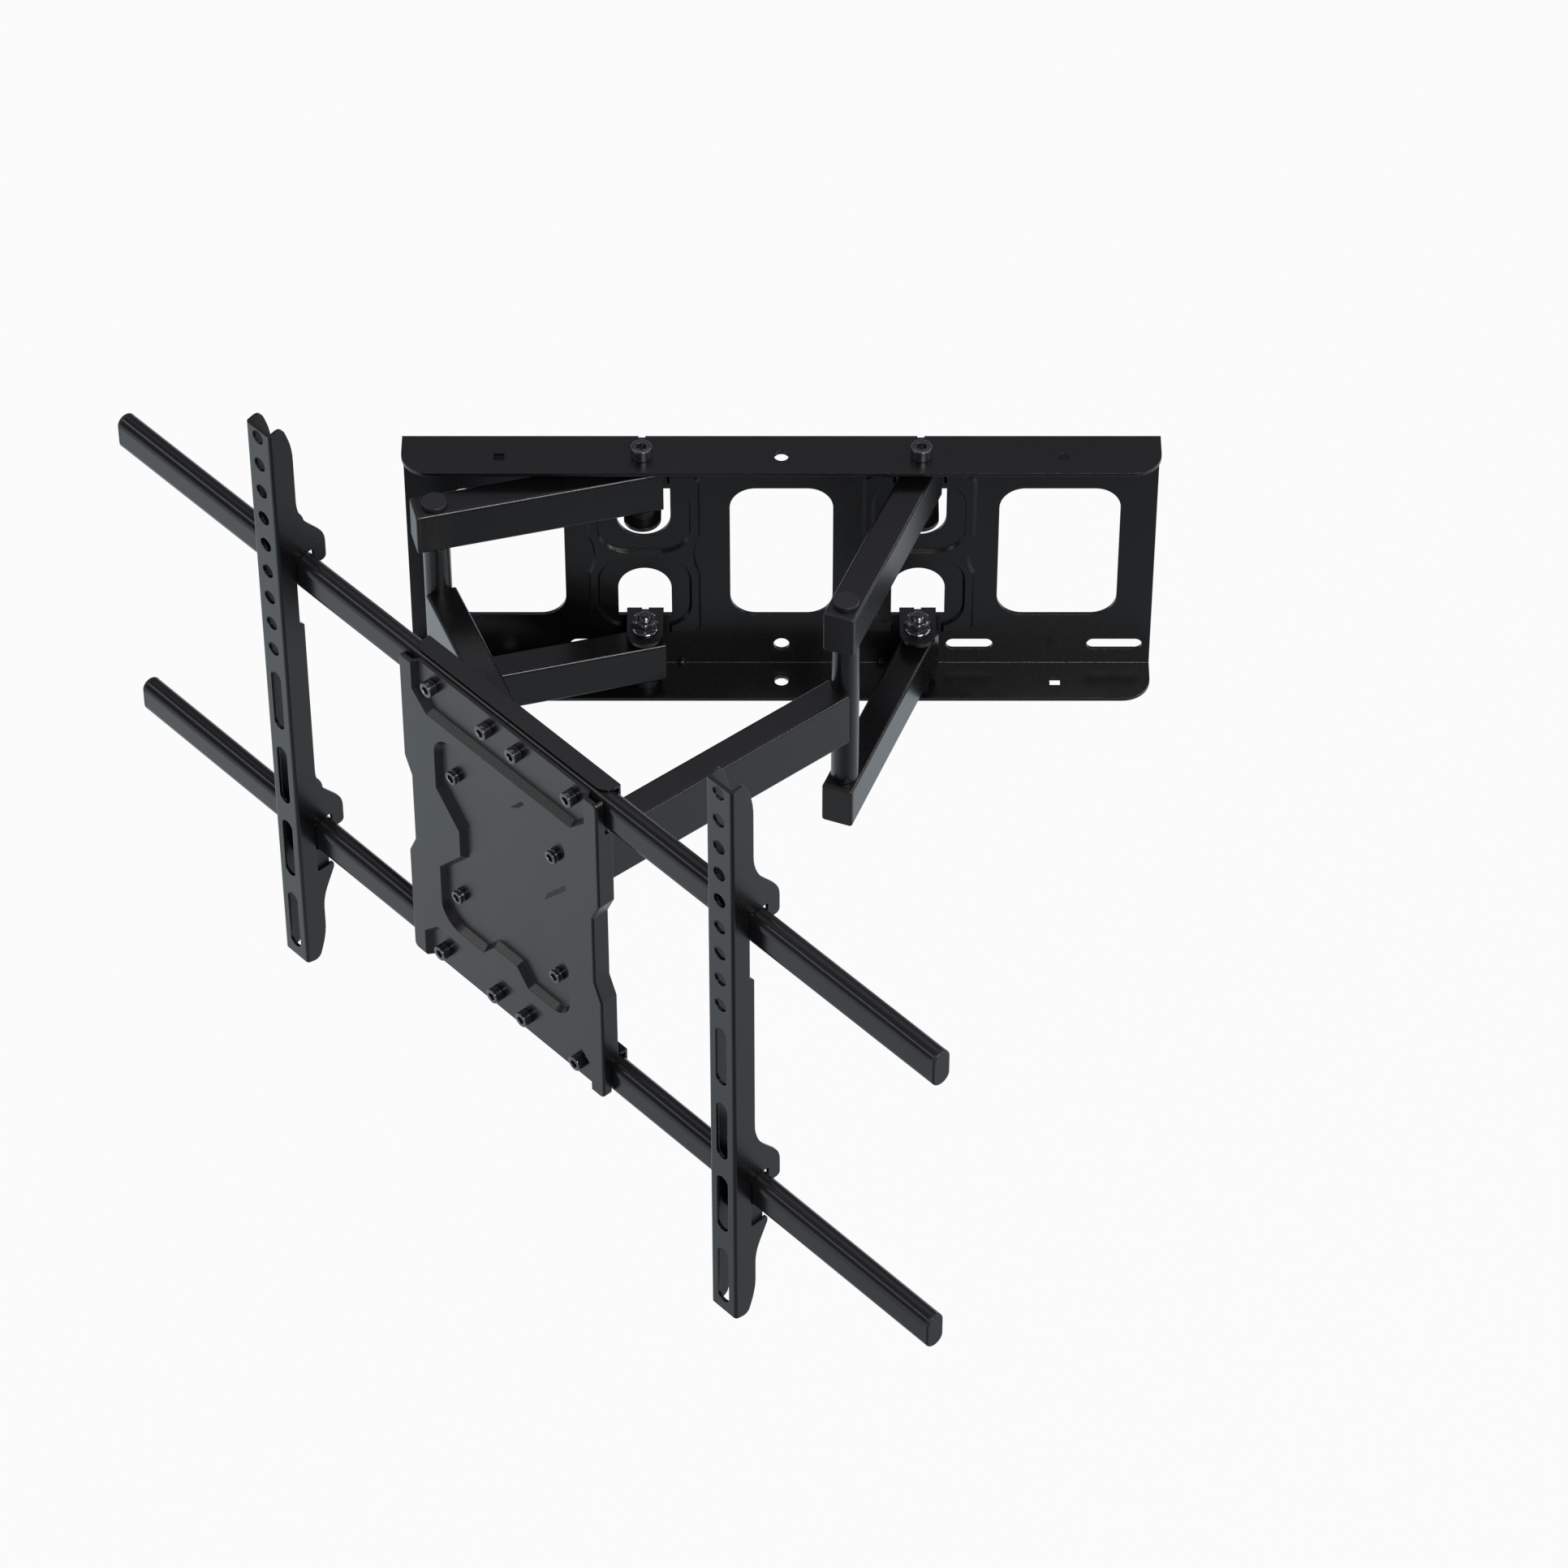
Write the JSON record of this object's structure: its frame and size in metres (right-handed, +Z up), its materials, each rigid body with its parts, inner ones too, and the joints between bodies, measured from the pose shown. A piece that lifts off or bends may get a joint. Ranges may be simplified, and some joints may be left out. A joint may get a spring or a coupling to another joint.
{
  "type": "full motion tv wall mount",
  "caption": "Black steel wall mount for a flat screen: a slotted wall plate, paired folding arms, a tilting head plate and two long rails that carry sliding hooked screen brackets.",
  "frame": {"origin": "centre of the four outer wall slots, on the wall plate's back face", "axes": "+Y into the wall, +Z up, +X to the right as seen from the room"},
  "size_m": [0.6366, 0.5454, 0.4458],
  "materials": {
    "black_powder_coat": "fine-textured matt powder coat",
    "satin_black_tube": "satin powder coat",
    "black_oxide_steel": "black oxide, slightly glossy",
    "black_plastic": "moulded plastic, satin",
    "bare_steel": "turned steel"
  },
  "bodies": {
    "wall": {"wall_plate": "black_powder_coat", "upper_wall_pivot_screws": "black_oxide_steel", "lower_wall_pivot_screws": "black_oxide_steel", "wall_pivot_nuts": "black_oxide_steel", "lug_rings": "black_plastic", "flange_rings": "black_plastic"},
    "left_rear_arm": {"left_rear_upper_tube": "black_powder_coat", "left_rear_lower_tube": "black_powder_coat", "left_rear_end_caps": "black_plastic", "left_wall_sleeves": "bare_steel", "left_elbow_pins": "black_oxide_steel", "left_elbow_discs": "black_plastic"},
    "left_front_arm": {"left_elbow_post": "black_powder_coat", "left_elbow_washers": "black_plastic", "left_front_tube": "black_powder_coat", "left_front_end_cap": "black_plastic", "left_head_sleeve": "bare_steel"},
    "right_rear_arm": {"right_rear_upper_tube": "black_powder_coat", "right_rear_lower_tube": "black_powder_coat", "right_rear_end_caps": "black_plastic", "right_wall_sleeves": "bare_steel", "right_elbow_pins": "black_oxide_steel", "right_elbow_discs": "black_plastic"},
    "right_front_arm": {"right_elbow_post": "black_powder_coat", "right_elbow_washers": "black_plastic", "right_front_tube": "black_powder_coat", "right_front_end_cap": "black_plastic", "right_head_sleeve": "bare_steel"},
    "yoke": {"swivel_yoke": "black_powder_coat", "head_pivot_washers": "black_plastic", "head_pivot_screws": "black_oxide_steel", "head_pivot_nuts": "black_oxide_steel", "tilt_screws": "black_oxide_steel", "tilt_nuts": "black_oxide_steel"},
    "head": {"tilt_bracket": "black_powder_coat", "head_plate": "black_powder_coat", "upper_left_rail": "satin_black_tube", "upper_right_rail": "satin_black_tube", "lower_left_rail": "satin_black_tube", "lower_right_rail": "satin_black_tube", "rail_end_caps": "black_plastic", "upper_rail_channel": "black_powder_coat", "lower_rail_channel": "black_powder_coat", "rail_screws": "black_oxide_steel", "rail_nuts": "black_oxide_steel", "plate_screws": "black_oxide_steel", "plate_screw_nuts": "black_oxide_steel"},
    "left_bracket": {"left_screen_bracket": "black_powder_coat", "left_rail_stop": "black_plastic"},
    "right_bracket": {"right_screen_bracket": "black_powder_coat", "right_rail_stop": "black_plastic"}
  },
  "joints": [
    {"name": "arm_swing", "type": "hinge", "parent": "wall", "child": "left_rear_arm", "pos_m": [-0.0855, -0.019, 0], "axis": [0, 0, 1], "range_deg": [0, 56.24]},
    {"name": "left_elbow", "type": "hinge", "parent": "left_rear_arm", "child": "left_front_arm", "pos_m": [-0.21106, -0.05268, 0], "axis": [0, 0, 1], "range_deg": [-42.68, 0]},
    {"name": "head_swivel", "type": "hinge", "parent": "left_front_arm", "child": "yoke", "pos_m": [-0.13961, -0.23465, 0], "axis": [0, 0, 1], "range_deg": [0, 73.77]},
    {"name": "right_wall_pivot", "type": "hinge", "parent": "wall", "child": "right_rear_arm", "pos_m": [0.0855, -0.019, 0], "axis": [0, 0, 1], "range_deg": [0, 49.87]},
    {"name": "right_elbow", "type": "hinge", "parent": "right_rear_arm", "child": "right_front_arm", "pos_m": [0.03887, -0.14035, 0], "axis": [0, 0, 1], "range_deg": [-41.85, 0]},
    {"name": "head_tilt", "type": "hinge", "parent": "yoke", "child": "head", "pos_m": [-0.14885, -0.27037, 0], "axis": [0.6778, -0.7353, 0], "range_deg": [-5, 15]},
    {"name": "left_bracket_slide", "type": "slide", "parent": "head", "child": "left_bracket", "axis": [0.6778, -0.7353, 0], "range_m": [-0.1, 0.1]},
    {"name": "right_bracket_slide", "type": "slide", "parent": "head", "child": "right_bracket", "axis": [0.6778, -0.7353, 0], "range_m": [-0.1, 0.1]}
  ],
  "couplings": [
    {"joint": "left_elbow", "follows": "arm_swing", "ratio": -0.75857},
    {"joint": "head_swivel", "follows": "arm_swing", "ratio": 1.3114},
    {"joint": "right_wall_pivot", "follows": "arm_swing", "ratio": 0.88629},
    {"joint": "right_elbow", "follows": "arm_swing", "ratio": -0.74375}
  ]
}
